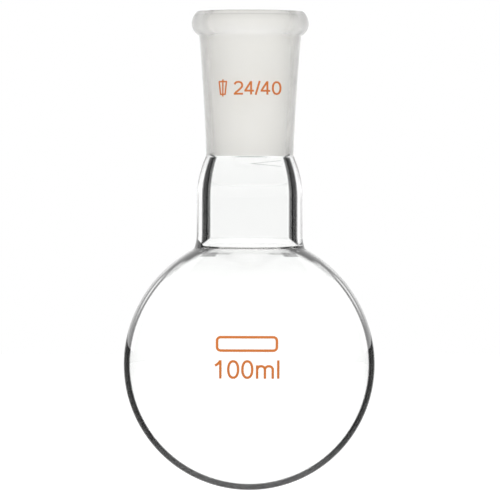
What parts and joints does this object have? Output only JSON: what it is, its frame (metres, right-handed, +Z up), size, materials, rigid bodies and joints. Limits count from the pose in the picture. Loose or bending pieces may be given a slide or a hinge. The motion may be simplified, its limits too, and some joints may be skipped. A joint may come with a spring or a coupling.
{
  "type": "boiling flask",
  "caption": "Round-bottom borosilicate boiling flask with a thick straight neck and a ground taper socket that ends in a rolled bead.",
  "frame": {"origin": "lowest point of the bulb, on the axis of the neck", "axes": "+Z up the neck, out of the mouth; the flask is round about it, and -Y is the printed front"},
  "size_m": [0.0696, 0.0696, 0.1328],
  "materials": {
    "borosilicate_glass": "clear fire-polished borosilicate glass, ground to an even white frost inside the socket",
    "orange_enamel": null
  },
  "bodies": {
    "root": {"flask": "borosilicate_glass"}
  },
  "joints": []
}
